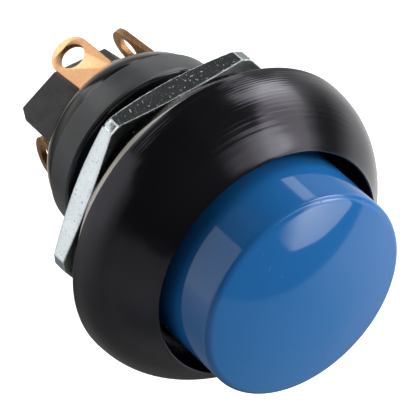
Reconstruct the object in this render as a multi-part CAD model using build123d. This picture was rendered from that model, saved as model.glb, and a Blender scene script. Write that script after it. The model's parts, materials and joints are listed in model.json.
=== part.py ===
from build123d import *
import math
import os

# Panel pushbutton switch: round domed bezel, raised blue cap, momentary action,
# threaded bushing with a thin hex nut, double-break contacts and four solder lugs.
# Millimetres. Origin: centre of the panel plane (the bezel's back face).
# +Z points out of the panel, towards the finger.

# ---------------------------------------------------------------- dimensions
# bezel and bushing, one turned piece
bezel_back_r = 10.2          # flat back face
bezel_edge_r = 12.36        # where the back chamfer ends
bezel_edge_z = 2.45
bezel_max_r = 12.42
bezel_max_z = 2.60
bezel_top_z = 8.63          # lip of the opening
opening_r = 9.20
well_floor_z = 1.50
bore_r = 6.45
thread_r = 7.94             # 5/8 inch class thread, 24 per inch
thread_pitch = 1.058
bushing_end_z = -5.35
groove_in_r = 8.40          # face groove for the panel seal
groove_out_r = 9.40
groove_depth = 0.75

# hex nut
nut_af = 20.0
nut_front_z = -0.21
nut_rear_z = -2.13
nut_bore_r = 7.96
nut_corner_r = 11.30
nut_turn_deg = 2.0          # direction of one flat's normal

# cap and plunger
cap_r = 8.26
cap_skirt_z = 4.10
cap_corner_z = 12.62
cap_crest_r = 7.80
cap_crest_z = 13.12
cap_apex_z = 14.25
cap_inner_r = 7.05
cap_ceiling_z = 10.80
boss_r = 3.60
boss_z = 8.60
shaft_r = 2.50
shaft_top_z = 11.90
shaft_end_z = -2.00
plunger_bore_r = 1.60
plunger_bore_top_z = 1.60
clip_top_z = -1.30
clip_bot_z = -1.75
press_travel = 2.20

# guide bushing
guide_r = 6.43
guide_bot_z = -1.25
guide_lip_r = 6.75
guide_lip_z = 2.20
tower_r = 3.90
tower_top_z = 5.60
guide_bore_r = 2.55
seal_pocket_r = 3.30
seal_pocket_z = 4.00

# case
spigot_r = 6.43
spigot_top_z = -3.30
cavity_r = 5.40
case_front_r = 7.70
case_rear_r = 7.47
case_rear_z = -7.85
base_seat_z = -6.20
base_r = 6.56

# barrier block and potting
block_rear_z = -14.43
block_pts = [(-4.26, 4.20), (-0.28, 4.30), (3.47, 2.00),
             (4.26, -4.20), (0.28, -4.30), (-3.47, -2.00)]

# contact carriage
carriage_top_z = -3.30
arm_bot_z = -3.80
hub_bot_z = -4.00
hub_r = 2.00
stem_r = 1.20
stem_end_z = -9.90
carriage_travel = 1.10
well_r = 2.10
well_bot_z = -8.00
stem_bore_r = 1.26
stem_bore_end_z = -11.60
bridge_top_z = -4.37
bridge_bot_z = -4.67
moving_tip_z = -4.92
fixed_tip_z = -6.05
foot_top_z = -6.30
foot_t = 0.40
tip_r = 0.65

# solder lugs: centre x, centre y, direction of the blade's width, lean of the tip
# along the width, lean of the tip towards the middle; angles in degrees
lug_t = 0.50
lug_w = 3.08
lug_bend_z = -9.90
lug_tip_z = -15.03
lug_hole_r = 1.00
lug_hole_z = -13.37
lugs = {
    "terminal_1": (1.59, 5.00, -4.0, -3.0, 0.0),
    "terminal_2": (5.06, 0.76, 70.0, 3.9, 6.5),
    "terminal_3": (-5.26, 0.08, 60.0, -5.9, 6.9),
    "terminal_4": (-1.59, -5.00, -4.0, 3.0, 0.0),
}
foot_len = 1.60

os.makedirs("parts", exist_ok=True)


def out(name, shape):
    shape.label = name
    export_step(shape, f"parts/{name}.step")
    print(f"{name:24s} vol {shape.volume:9.3f}  solids {len(shape.solids())}")
    return shape


def disc(r, z0, z1, x=0.0, y=0.0):
    lo, hi = min(z0, z1), max(z0, z1)
    return Pos(x, y, (lo + hi) / 2) * Cylinder(r, hi - lo)


def ring(ro, ri, z0, z1, x=0.0, y=0.0):
    lo, hi = min(z0, z1), max(z0, z1)
    return disc(ro, lo, hi, x, y) - disc(ri, lo - 0.5, hi + 0.5, x, y)


def rz(points):
    """(r, z) pairs as points of the half plane Y = 0."""
    return [Vector(r, 0, z) for r, z in points]


def spun(*edges):
    """Solid of revolution about Z of the closed outline made by the edges."""
    flat = []
    for e in edges:
        flat.extend(e.edges())
    return revolve(Face(Wire.combine(flat, tol=1e-4)[0]), axis=Axis.Z)


def turned(points):
    """Solid of revolution about Z from a closed list of (r, z) points."""
    return spun(Polyline(*rz(points), close=True))


def coil(r_mean, wire_r, z0, z1, turns, x=0.0, y=0.0):
    """Closed-form compression spring: a helix swept with a round wire."""
    height = (z1 - z0) - 2 * wire_r
    path = Helix(pitch=height / turns, height=height, radius=r_mean,
                 center=(x, y, z0 + wire_r))
    section = Plane(origin=path @ 0, z_dir=path % 0) * Circle(wire_r)
    return sweep(section, path=path, is_frenet=True)


# ---------------------------------------------------------------- bezel
def bezel_curve(n=18):
    """Rounded front of the bezel, from the rim up to the opening."""
    pts = []
    for i in range(n + 1):
        t = math.pi / 2 * i / n
        r = opening_r + 0.12 + (bezel_max_r - opening_r - 0.12) * math.cos(t) ** 2.309
        z = bezel_max_z + (bezel_top_z - bezel_max_z) * math.sin(t) ** 0.872
        pts.append((r, z))
    return pts


curve = bezel_curve()
front = Spline(*rz(curve), tangents=[(0, 0, 1), (-1, 0, 0.93)])
bezel = spun(front, Polyline(*rz([
    curve[-1], (opening_r, bezel_top_z - 0.10), (opening_r, well_floor_z),
    (bore_r, well_floor_z), (bore_r, bushing_end_z),
    (thread_r - 0.45, bushing_end_z), (thread_r, bushing_end_z + 0.45),
    (thread_r, 0.0), (groove_in_r, 0.0), (groove_in_r, groove_depth),
    (groove_out_r, groove_depth), (groove_out_r, 0.0),
    (bezel_back_r, 0.0), (bezel_edge_r, bezel_edge_z), curve[0]])))
out("bezel_bushing", bezel)

# panel seal: an O-ring in the face groove, standing 0.2 proud of the back face
seal_major = (groove_in_r + groove_out_r) / 2
out("panel_seal", Pos(0, 0, 0.25) * Torus(seal_major, 0.45))

# ---------------------------------------------------------------- nut
hex_prism = Pos(0, 0, (nut_front_z + nut_rear_z) / 2) * extrude(
    Rot(0, 0, nut_turn_deg + 30) * RegularPolygon(nut_af / 2, 6, major_radius=False, rotation=0),
    amount=(nut_front_z - nut_rear_z) / 2, both=True)
nut_turning = turned([(0, nut_rear_z), (nut_af / 2 - 0.12, nut_rear_z),
                      (nut_corner_r, nut_rear_z + 0.50), (nut_corner_r, nut_front_z - 0.20),
                      (nut_af / 2 + 0.02, nut_front_z), (0, nut_front_z)])
nut = (hex_prism & nut_turning) - disc(nut_bore_r, nut_rear_z - 1, nut_front_z + 1)
lead_in = turned([(0, nut_rear_z - 0.01), (nut_bore_r + 0.35, nut_rear_z - 0.01),
                  (nut_bore_r, nut_rear_z + 0.35), (0, nut_rear_z + 0.35)])
lead_out = turned([(0, nut_front_z + 0.01), (nut_bore_r + 0.35, nut_front_z + 0.01),
                   (nut_bore_r, nut_front_z - 0.35), (0, nut_front_z - 0.35)])
nut = nut - lead_in - lead_out
out("hex_nut", nut)

# ---------------------------------------------------------------- cap
rim_z = cap_corner_z
sag = cap_apex_z - cap_crest_z
dome_r = (cap_crest_r ** 2 + sag ** 2) / (2 * sag)
mid = cap_crest_r / 2
mid_z = cap_apex_z - dome_r + math.sqrt(dome_r ** 2 - mid ** 2)
shoulder_arc = ThreePointArc(*rz([(cap_r, rim_z), (cap_r - 0.115, rim_z + 0.34), (cap_crest_r, cap_crest_z)]))
dome_arc = ThreePointArc(*rz([(cap_crest_r, cap_crest_z), (mid, mid_z), (0, cap_apex_z)]))
cap = spun(shoulder_arc, dome_arc, Polyline(*rz([
    (0, cap_apex_z), (0, shaft_top_z + 0.05), (shaft_r, shaft_top_z + 0.05),
    (shaft_r, boss_z), (boss_r, boss_z), (boss_r, cap_ceiling_z),
    (cap_inner_r - 0.6, cap_ceiling_z), (cap_inner_r, cap_ceiling_z - 0.6),
    (cap_inner_r, cap_skirt_z), (cap_r - 0.10, cap_skirt_z), (cap_r, cap_skirt_z + 0.10), (cap_r, rim_z)])))
out("button_cap", cap)

# ---------------------------------------------------------------- plunger
plunger = disc(shaft_r, shaft_end_z, shaft_top_z)
plunger = plunger - disc(plunger_bore_r, shaft_end_z - 1, plunger_bore_top_z)
plunger = plunger - (disc(shaft_r + 1, clip_bot_z, clip_top_z) - disc(2.15, clip_bot_z - 1, clip_top_z + 1))
plunger = plunger - (disc(shaft_r + 1, shaft_top_z - 0.3, shaft_top_z + 1)
                     - turned([(0, shaft_top_z - 0.3), (shaft_r, shaft_top_z - 0.3),
                               (shaft_r - 0.3, shaft_top_z), (0, shaft_top_z)]))
out("plunger", plunger)

# retaining clip in the plunger's groove, under the guide
clip = ring(3.60, 2.17, clip_bot_z, clip_top_z) - Pos(3.0, 0, (clip_bot_z + clip_top_z) / 2) * Box(3.0, 1.6, 2.0)
out("retaining_ring", clip)

# ---------------------------------------------------------------- guide bushing
guide = (disc(guide_r, guide_bot_z, well_floor_z) + disc(guide_lip_r, well_floor_z, guide_lip_z)
         + disc(tower_r, guide_lip_z, tower_top_z))
guide = guide - disc(guide_bore_r, guide_bot_z - 1, tower_top_z + 1)
guide = guide - disc(seal_pocket_r, seal_pocket_z, tower_top_z + 1)
out("guide_bushing", guide)
out("shaft_seal", ring(seal_pocket_r - 0.02, shaft_r + 0.03, seal_pocket_z, seal_pocket_z + 0.90))
out("seal_retainer", ring(seal_pocket_r - 0.01, shaft_r + 0.12, seal_pocket_z + 0.90, tower_top_z))

# ---------------------------------------------------------------- springs
out("return_spring", coil(5.10, 0.32, guide_lip_z, cap_ceiling_z, 5.0))
out("overtravel_spring", coil(1.20, 0.18, carriage_top_z, plunger_bore_top_z, 6.0))
out("carriage_spring", coil(1.65, 0.18, well_bot_z, hub_bot_z, 5.0))

# ---------------------------------------------------------------- case
case = turned([(cavity_r, spigot_top_z), (spigot_r, spigot_top_z),
               (spigot_r, -4.10), (5.90, -4.10), (5.90, -4.80), (spigot_r, -4.80),
               (spigot_r, bushing_end_z), (case_front_r - 0.15, bushing_end_z),
               (case_front_r, bushing_end_z - 0.15), (case_rear_r, case_rear_z + 0.18),
               (case_rear_r - 0.18, case_rear_z), (base_r + 0.02, case_rear_z),
               (base_r + 0.02, base_seat_z), (cavity_r, base_seat_z)])
out("switch_case", case)
out("case_seal", ring(6.42, 5.92, -4.78, -4.12))

# ---------------------------------------------------------------- contacts and lugs
lug_solids = {}
foot_ends = {}
for name, (cx, cy, az, side, into) in lugs.items():
    # local frame: width along x, thickness along y, inward is -y or +y
    width_dir = Vector(math.cos(math.radians(az)), math.sin(math.radians(az)), 0)
    normal = Vector(-width_dir.Y, width_dir.X, 0)
    sign = -1 if normal.X * cx + normal.Y * cy > 0 else 1
    w_hi = lug_w / 2
    w_lo = lug_w / 2 - 0.06
    tip_c = lug_tip_z + lug_w / 2
    outline = [(-w_hi, tip_c), (-w_lo, lug_bend_z), (w_lo, lug_bend_z), (w_hi, tip_c)]
    edges = Polyline(*rz(outline)).edges() + ThreePointArc(*rz([(w_hi, tip_c), (0, lug_tip_z), (-w_hi, tip_c)])).edges()
    blade = extrude(Face(Wire.combine(edges, tol=1e-4)[0]), amount=lug_t / 2, dir=(0, 1, 0), both=True)
    blade = blade - Pos(0, 0, lug_hole_z) * Rot(90, 0, 0) * Cylinder(lug_hole_r, 3 * lug_t)
    # break the stamped edges a little
    rims = [e for e in blade.edges().filter_by(GeomType.CIRCLE) if e.radius > 1.2]
    if rims:
        blade = chamfer(rims, 0.08)
    # the blade is bent at its root, under the potting
    bend = Pos(0, 0, lug_bend_z) * Rot(0, -side, 0) * Rot(sign * into, 0, 0) * Pos(0, 0, -lug_bend_z)
    knuckle = Pos(0, 0, lug_bend_z) * Rot(0, 90, 0) * Cylinder(lug_t / 2, 2 * w_lo - 0.02)
    shoulder = Pos(0, 0, lug_bend_z + 0.30) * Box(2 * w_lo - 0.02, lug_t, 0.60)
    tang = Pos(0, 0, (foot_top_z + lug_bend_z) / 2) * Box(1.6, lug_t, foot_top_z - lug_bend_z)
    # foot, folded inwards at the top of the tang
    foot = Pos(0, sign * (foot_len / 2 + lug_t / 2), foot_top_z - foot_t / 2) * Box(1.6, foot_len, foot_t)
    toe = Pos(0, sign * (foot_len + lug_t / 2), foot_top_z - foot_t / 2) * Cylinder(0.8, foot_t)
    whole = bend * blade + knuckle + shoulder + tang + foot + toe
    place = Pos(cx, cy, 0) * Rot(0, 0, az)
    lug = place * whole
    lug_solids[name] = lug
    reach = sign * (foot_len + lug_t / 2)
    foot_ends[name] = (cx + normal.X * reach, cy + normal.Y * reach)
    out(name, lug)

for i, name in enumerate(lugs, 1):
    fx, fy = foot_ends[name]
    out(f"fixed_contact_{i}", disc(tip_r, foot_top_z, fixed_tip_z, fx, fy))


# ---------------------------------------------------------------- terminal base with its barrier block
def prism(points, z0, z1):
    lo = min(z0, z1)
    outline = Polyline(*[Vector(x, y, lo) for x, y in points], close=True)
    return extrude(Face(Wire.combine(outline.edges(), tol=1e-4)[0]), amount=abs(z1 - z0), dir=(0, 0, 1))


block = prism(block_pts, block_rear_z, case_rear_z)
# corner cut on both ends of the block
end_cut = Polyline(*rz([(-4.9, block_rear_z - 0.4), (-4.26 + 0.52, block_rear_z - 0.01),
                        (-4.27, block_rear_z + 1.02), (-4.9, block_rear_z + 1.2)]), close=True)
cutter = extrude(Face(Wire.combine(end_cut.edges(), tol=1e-4)[0]), amount=8, dir=(0, 1, 0), both=True)
block = block - cutter - mirror(cutter, about=Plane.YZ)
base = disc(base_r, case_rear_z, base_seat_z) + block
base = base - disc(well_r, well_bot_z, base_seat_z + 1) - disc(stem_bore_r, stem_bore_end_z, well_bot_z + 0.5)
for name, (cx, cy, az, side, into) in lugs.items():
    place = Pos(cx, cy, 0) * Rot(0, 0, az)
    width_dir = Vector(math.cos(math.radians(az)), math.sin(math.radians(az)), 0)
    normal = Vector(-width_dir.Y, width_dir.X, 0)
    sign = -1 if normal.X * cx + normal.Y * cy > 0 else 1
    slot = Pos(0, 0, -7.9) * Box(1.64, lug_t + 0.04, 4.0)
    pocket = Pos(0, sign * (foot_len / 2 + lug_t / 2), (foot_top_z - foot_t + base_seat_z + 0.5) / 2) * Box(
        1.64, foot_len + lug_t, (base_seat_z + 0.5) - (foot_top_z - foot_t))
    toe = Pos(0, sign * (foot_len + lug_t / 2), (foot_top_z - foot_t + base_seat_z + 0.5) / 2) * Cylinder(
        0.82, (base_seat_z + 0.5) - (foot_top_z - foot_t))
    base = base - place * (slot + pocket + toe)
out("terminal_base", base)

# ---------------------------------------------------------------- potting
pot_pts = [(7.22, case_rear_z), (7.02, -8.75), (6.55, -9.55), (5.72, -10.30), (4.70, -10.72), (3.6, -10.85)]
potting = spun(Spline(*rz(pot_pts), tangents=[(0.02, 0, -1), (-1, 0, 0)]),
               Polyline(*rz([pot_pts[-1], (0, -10.85), (0, case_rear_z), pot_pts[0]])))
potting = potting - prism(block_pts, -12, -7)
for name in lugs:
    potting = potting - lug_solids[name]
out("epoxy_seal", potting)

# ---------------------------------------------------------------- carriage and bridges
pairs = {"a": ("terminal_1", "terminal_2"), "b": ("terminal_4", "terminal_3")}
carriage = disc(hub_r, hub_bot_z, carriage_top_z) + disc(stem_r, stem_end_z, hub_bot_z)
for tag, (n1, n2) in pairs.items():
    (x1, y1), (x2, y2) = foot_ends[n1], foot_ends[n2]
    mx, my = (x1 + x2) / 2, (y1 + y2) / 2
    d = math.hypot(mx, my)
    ang = math.degrees(math.atan2(my, mx))
    arm = Rot(0, 0, ang) * Pos(d / 2, 0, (carriage_top_z + arm_bot_z) / 2) * Box(d, 1.6, carriage_top_z - arm_bot_z)
    carriage = carriage + arm + disc(0.80, arm_bot_z, carriage_top_z, mx, my)
    carriage = carriage + disc(0.35, -4.95, arm_bot_z, mx, my) + disc(0.50, -4.95, -4.72, mx, my)
    # bridge: a flat bar with rounded ends, loose on the post
    length = math.hypot(x2 - x1, y2 - y1)
    bang = math.degrees(math.atan2(y2 - y1, x2 - x1))
    bar = (Pos(mx, my, (bridge_top_z + bridge_bot_z) / 2) * Rot(0, 0, bang)
           * Box(length, 1.30, bridge_top_z - bridge_bot_z))
    bar = bar + disc(0.65, bridge_bot_z, bridge_top_z, x1, y1) + disc(0.65, bridge_bot_z, bridge_top_z, x2, y2)
    bar = bar - disc(0.42, bridge_bot_z - 1, bridge_top_z + 1, mx, my)
    out(f"contact_bridge_{tag}", bar)
    tips = Compound(children=[disc(tip_r - 0.05, moving_tip_z, bridge_bot_z, x1, y1),
                              disc(tip_r - 0.05, moving_tip_z, bridge_bot_z, x2, y2)])
    out(f"moving_contacts_{tag}", tips)
    out(f"contact_spring_{tag}", coil(0.58, 0.09, bridge_top_z, arm_bot_z, 2.0, mx, my))
out("contact_carriage", carriage)
print("press travel", press_travel, "carriage travel", carriage_travel)
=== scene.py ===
import json
import math
import random

import bmesh
import bpy
import numpy as np
from mathutils import Matrix, Vector


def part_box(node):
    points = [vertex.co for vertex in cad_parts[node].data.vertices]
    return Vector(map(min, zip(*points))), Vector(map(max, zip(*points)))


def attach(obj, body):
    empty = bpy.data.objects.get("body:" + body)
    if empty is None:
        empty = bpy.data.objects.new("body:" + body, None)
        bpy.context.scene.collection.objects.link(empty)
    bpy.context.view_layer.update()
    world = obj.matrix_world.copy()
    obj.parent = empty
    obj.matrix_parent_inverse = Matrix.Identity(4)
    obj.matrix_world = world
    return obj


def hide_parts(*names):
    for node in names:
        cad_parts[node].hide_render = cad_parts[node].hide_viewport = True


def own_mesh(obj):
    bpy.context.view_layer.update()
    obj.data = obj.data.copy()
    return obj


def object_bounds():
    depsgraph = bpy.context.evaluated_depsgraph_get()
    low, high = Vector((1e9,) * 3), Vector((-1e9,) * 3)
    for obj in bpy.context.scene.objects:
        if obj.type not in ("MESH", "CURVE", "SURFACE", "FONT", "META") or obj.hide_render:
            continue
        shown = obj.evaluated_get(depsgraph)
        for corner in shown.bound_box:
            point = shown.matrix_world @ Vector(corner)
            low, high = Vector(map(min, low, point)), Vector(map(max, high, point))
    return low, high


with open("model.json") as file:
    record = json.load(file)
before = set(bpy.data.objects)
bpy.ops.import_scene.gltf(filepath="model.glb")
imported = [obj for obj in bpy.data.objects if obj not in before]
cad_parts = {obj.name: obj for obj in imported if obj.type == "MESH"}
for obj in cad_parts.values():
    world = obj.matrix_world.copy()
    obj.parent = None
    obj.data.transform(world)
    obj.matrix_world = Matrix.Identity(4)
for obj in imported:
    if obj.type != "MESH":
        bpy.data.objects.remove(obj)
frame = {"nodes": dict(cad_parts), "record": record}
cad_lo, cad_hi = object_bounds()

MM = 0.001
random.seed(7)
rng = np.random.default_rng(7)
scene = bpy.context.scene
scene.view_settings.view_transform = "Standard"
scene.view_settings.look = "None"


# ================================================================ sizes from the frame (mm)
def mm_box(node):
    lo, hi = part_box(node)
    return [v / MM for v in lo], [v / MM for v in hi]


bez_lo, bez_hi = mm_box("bezel_bushing")
nut_lo, nut_hi = mm_box("hex_nut")
cap_lo, cap_hi = mm_box("button_cap")
case_lo, case_hi = mm_box("switch_case")
base_lo, base_hi = mm_box("terminal_base")
pot_lo, pot_hi = mm_box("epoxy_seal")

RIM_R = bez_hi[0]                       # 12.42, the bezel's greatest radius
BEZ_TOP = bez_hi[2]                     # 8.63
BUSH_END = bez_lo[2]                    # -5.35
NUT_F, NUT_R = nut_hi[2], nut_lo[2]     # -0.21, -2.13
NUT_CORNER = nut_hi[1]                  # 11.30
CAP_R = cap_hi[0]                       # 8.26
CAP_TOP = cap_hi[2]                     # 14.25
SKIRT_Z = cap_lo[2]                     # 4.10
CASE_R = case_hi[0]                     # 7.70
BLOCK_END = base_lo[2]                  # -14.43
POT_END = pot_lo[2]                     # -10.85


# ================================================================ mesh helpers
def link(obj):
    scene.collection.objects.link(obj)
    return obj


def mesh_from(name, verts, faces, mats, smooth=True, sharp=None, weld=1e-7):
    """An object from vertices in mm."""
    me = bpy.data.meshes.new(name)
    me.from_pydata([(x * MM, y * MM, z * MM) for x, y, z in verts], [], faces)
    bm = bmesh.new()
    bm.from_mesh(me)
    bmesh.ops.remove_doubles(bm, verts=bm.verts, dist=weld)
    bmesh.ops.dissolve_degenerate(bm, edges=bm.edges, dist=weld * 0.5)
    bmesh.ops.recalc_face_normals(bm, faces=bm.faces)
    bm.to_mesh(me)
    bm.free()
    if smooth:
        me.shade_smooth()
        if sharp:
            me.set_sharp_from_angle(angle=math.radians(sharp))
    for m in mats:
        me.materials.append(m)
    return link(bpy.data.objects.new(name, me))


def grid(name, rows, mats, close_rows=False, sharp=None, weld=1e-7):
    """Quads between successive rings of points; each ring closes on itself."""
    rows = np.asarray(rows, float)
    nr, nc = rows.shape[:2]
    verts = rows.reshape(-1, 3).tolist()
    faces = []
    last = nr if close_rows else nr - 1
    for i in range(last):
        a, b = i * nc, ((i + 1) % nr) * nc
        for j in range(nc):
            k = (j + 1) % nc
            faces.append((a + j, a + k, b + k, b + j))
    return mesh_from(name, verts, faces, mats, sharp=sharp, weld=weld)


def spin_rows(profile, n):
    prof = np.asarray(profile, float)
    th = np.linspace(0, 2 * math.pi, n, endpoint=False)
    rows = np.zeros((len(prof), n, 3))
    rows[..., 0] = prof[:, :1] * np.cos(th)
    rows[..., 1] = prof[:, :1] * np.sin(th)
    rows[..., 2] = prof[:, 1:2]
    return rows


def fillet(points, closed=True, seg=5):
    """Rounds the corners of an (r, z, radius) outline."""
    out = []
    n = len(points)
    for i, (x, y, rad) in enumerate(points):
        p = np.array([x, y], float)
        if rad <= 0 or (not closed and i in (0, n - 1)):
            out.append((x, y))
            continue
        a = np.array(points[i - 1][:2], float) - p
        b = np.array(points[(i + 1) % n][:2], float) - p
        la, lb = np.linalg.norm(a), np.linalg.norm(b)
        a, b = a / la, b / lb
        ang = math.acos(max(-1, min(1, float(a @ b))))
        if ang > math.pi - 0.02:
            out.append((x, y))
            continue
        t = min(rad / math.tan(ang / 2), 0.45 * la, 0.45 * lb)
        r = t * math.tan(ang / 2)
        c = p + (a + b) / np.linalg.norm(a + b) * (r / math.sin(ang / 2))
        s, e = p + a * t, p + b * t
        a0 = math.atan2(*(s - c)[::-1])
        a1 = math.atan2(*(e - c)[::-1])
        d = (a1 - a0 + math.pi) % (2 * math.pi) - math.pi
        for k in range(seg + 1):
            w = a0 + d * k / seg
            out.append((c[0] + r * math.cos(w), c[1] + r * math.sin(w)))
    return out


def refine(profile, step, closed=True):
    """Adds points so that no profile edge is longer than step."""
    out = []
    n = len(profile)
    for i in range(n if closed else n - 1):
        a, b = np.array(profile[i]), np.array(profile[(i + 1) % n])
        k = max(1, int(math.ceil(np.linalg.norm(b - a) / step)))
        for s in range(k):
            out.append(tuple(a + (b - a) * s / k))
    if not closed:
        out.append(tuple(profile[-1]))
    return out


def weighted(obj):
    m = obj.modifiers.new("weighted", "WEIGHTED_NORMAL")
    m.mode = "FACE_AREA"
    m.weight = 50
    m.keep_sharp = True


def fbm(x, y, z, seed=0, octaves=4):
    """Cheap smooth noise from sums of sines, about -1 to 1."""
    r = np.random.default_rng(seed)
    v = 0
    amp, tot, f = 1.0, 0.0, 1.0
    for _ in range(octaves):
        for _ in range(3):
            k = r.normal(size=3)
            k = k / np.linalg.norm(k) * f
            v = v + amp * np.sin(k[0] * x + k[1] * y + k[2] * z + r.uniform(0, 6.28))
        tot += amp * 1.7
        amp *= 0.5
        f *= 2.1
    return v / tot


# ================================================================ material helpers
class Mat:
    def __init__(self, name):
        self.m = bpy.data.materials.new(name)
        self.m.use_nodes = True
        self.nt = self.m.node_tree
        self.nt.nodes.clear()
        self.out = self.nt.nodes.new("ShaderNodeOutputMaterial")
        self.b = self.nt.nodes.new("ShaderNodeBsdfPrincipled")
        self.nt.links.new(self.b.outputs[0], self.out.inputs[0])
        self.tc = self.nt.nodes.new("ShaderNodeTexCoord")
        self.mm = self.node("ShaderNodeVectorMath", operation="SCALE", Vector=self.tc.outputs["Object"], Scale=1000.0).outputs[0]

    def put(self, sock, v):
        if isinstance(v, bpy.types.NodeSocket):
            self.nt.links.new(v, sock)
        elif isinstance(v, (tuple, list)) and len(v) == 3 and sock.type == "RGBA":
            sock.default_value = (*v, 1.0)
        else:
            sock.default_value = v

    def node(self, kind, **kw):
        n = self.nt.nodes.new(kind)
        for k, v in kw.items():
            if k.startswith("i") and k[1:].isdigit():
                self.put(n.inputs[int(k[1:])], v)
            elif hasattr(n, k) and not isinstance(v, bpy.types.NodeSocket) and k not in n.inputs:
                setattr(n, k, v)
            else:
                self.put(n.inputs[k.replace("_", " ")], v)
        return n

    def set(self, **kw):
        for k, v in kw.items():
            self.put(self.b.inputs[k.replace("_", " ")], v)
        return self

    def math(self, op, a, b=0.0, c=None, clamp=False):
        n = self.nt.nodes.new("ShaderNodeMath")
        n.operation = op
        n.use_clamp = clamp
        self.put(n.inputs[0], a)
        self.put(n.inputs[1], b)
        if c is not None:
            self.put(n.inputs[2], c)
        return n.outputs[0]

    def noise(self, scale, detail=3.0, rough=0.5, vec=None, stretch=None, dim="3D", distortion=0.0):
        v = vec if vec is not None else self.mm
        if stretch:
            v = self.node("ShaderNodeVectorMath", operation="MULTIPLY", i0=v, i1=stretch).outputs[0]
        n = self.nt.nodes.new("ShaderNodeTexNoise")
        n.noise_dimensions = dim
        self.put(n.inputs["Vector"], v)
        n.inputs["Scale"].default_value = scale
        n.inputs["Detail"].default_value = detail
        n.inputs["Roughness"].default_value = rough
        n.inputs["Distortion"].default_value = distortion
        return n.outputs["Fac"]

    def ramp(self, fac, stops):
        n = self.nt.nodes.new("ShaderNodeValToRGB")
        self.put(n.inputs[0], fac)
        el = n.color_ramp.elements
        while len(el) > 1:
            el.remove(el[0])
        el[0].position = stops[0][0]
        el[0].color = (*stops[0][1], 1)
        for p, c in stops[1:]:
            e = el.new(p)
            e.color = (*c, 1)
        return n.outputs[0]

    def remap(self, v, a, b, c, d, smooth=False):
        n = self.nt.nodes.new("ShaderNodeMapRange")
        n.interpolation_type = "SMOOTHSTEP" if smooth else "LINEAR"
        for i, x in enumerate((v, a, b, c, d)):
            self.put(n.inputs[i], x)
        return n.outputs[0]

    def bump(self, height, distance, strength=1.0, normal=None):
        n = self.nt.nodes.new("ShaderNodeBump")
        n.inputs["Strength"].default_value = strength
        n.inputs["Distance"].default_value = distance
        self.put(n.inputs["Height"], height)
        if normal is not None:
            self.put(n.inputs["Normal"], normal)
        return n.outputs[0]

    def attr(self, name):
        n = self.nt.nodes.new("ShaderNodeAttribute")
        n.attribute_name = name
        return n.outputs["Fac"]


def polar(k):
    """(radius, z) of a material's point, in mm, as sockets."""
    sep = k.node("ShaderNodeSeparateXYZ", Vector=k.mm)
    x, y, z = sep.outputs
    rr = k.math("SQRT", k.math("ADD", k.math("MULTIPLY", x, x), k.math("MULTIPLY", y, y)))
    return rr, z, k.math("ARCTAN2", y, x)


# ---------------------------------------------------------------- materials
def anodised():
    """Satin black anodised aluminium, finely lathe-cut; the back chamfer is cut bare."""
    k = Mat("anodised_black")
    rr, z, th = polar(k)
    # rings: noise that runs only along the profile, nearly constant round the turn
    s = k.math("ADD", k.math("MULTIPLY", z, 1.0), k.math("MULTIPLY", rr, 0.7))
    vec = k.node("ShaderNodeCombineXYZ", X=s, Y=k.math("MULTIPLY", k.math("COSINE", th), 0.12), Z=k.math("MULTIPLY", k.math("SINE", th), 0.12)).outputs[0]
    fine = k.noise(11.0, 4.0, 0.66, vec=vec)
    groove = k.noise(10.0, 1.0, 0.5, vec=vec)
    group = k.remap(k.noise(0.95, 1.0, 0.5, vec=vec), 0.42, 0.60, 0.12, 1.0, smooth=True)
    patch = k.remap(k.noise(0.30, 2.0, 0.5), 0.35, 0.62, 0.35, 1.0, smooth=True)
    side = k.remap(k.math("COSINE", k.math("SUBTRACT", th, 0.90)), 0.55, 0.92, 0.06, 1.0, smooth=True)
    cut = k.math("SINE", k.math("ADD", k.math("MULTIPLY", s, 34.0), k.math("MULTIPLY", groove, 5.0)))
    rings = k.math("ADD", k.math("MULTIPLY", k.math("SUBTRACT", groove, 0.5), 0.30), k.math("MULTIPLY", cut, 0.11))
    rings = k.math("MULTIPLY", rings, k.math("MULTIPLY", side, k.math("MULTIPLY", group, patch)))
    grain = k.noise(26.0, 3.0, 0.6)
    n0 = k.bump(rings, 0.000050, 0.85)
    n1 = k.bump(fine, 0.000006, 0.50, n0)
    n2 = k.bump(grain, 0.000003, 0.25, n1)
    cloud = k.noise(0.22, 3.0, 0.55)
    col = k.ramp(cloud, [(0.30, (0.0060, 0.0056, 0.0068)), (0.70, (0.0084, 0.0078, 0.0094))])
    rough = k.remap(k.math("ADD", k.math("MULTIPLY", fine, 0.5), k.math("MULTIPLY", grain, 0.5)), 0.3, 0.7, 0.11, 0.17)
    # the bare cut
    ragged = k.math("MULTIPLY", k.math("SUBTRACT", k.noise(3.0, 3.0, 0.6), 0.5), 0.10)
    # the cut sits off centre, so it narrows to nothing on one side
    lift = k.remap(k.math("COSINE", k.math("SUBTRACT", th, 0.35)), 0.28, 0.80, 0.0, 1.45, smooth=True)
    bare = k.math("MULTIPLY", k.remap(k.math("SUBTRACT", k.math("ADD", rr, ragged), lift), 11.02, 11.08, 0.0, 1.0), k.remap(k.math("ADD", z, ragged), 2.38, 2.42, 1.0, 0.0))
    tone = k.ramp(k.noise(6.0, 3.0, 0.6, vec=vec), [(0.35, (0.60, 0.555, 0.50)), (0.65, (0.86, 0.81, 0.74))])
    col = k.node("ShaderNodeMix", data_type="RGBA", Factor=bare, i6=col, i7=tone).outputs[2]
    rough = k.math("ADD", k.math("MULTIPLY", rough, k.math("SUBTRACT", 1.0, bare)), k.math("MULTIPLY", bare, 0.40))
    k.set(Base_Color=col, Roughness=rough, Normal=n2)
    k.set(Metallic=k.math("MULTIPLY", bare, 0.55), IOR=1.5)
    k.b.inputs["Specular Tint"].default_value = (0.99, 0.95, 1.09, 1.0)
    return k.m


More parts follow.
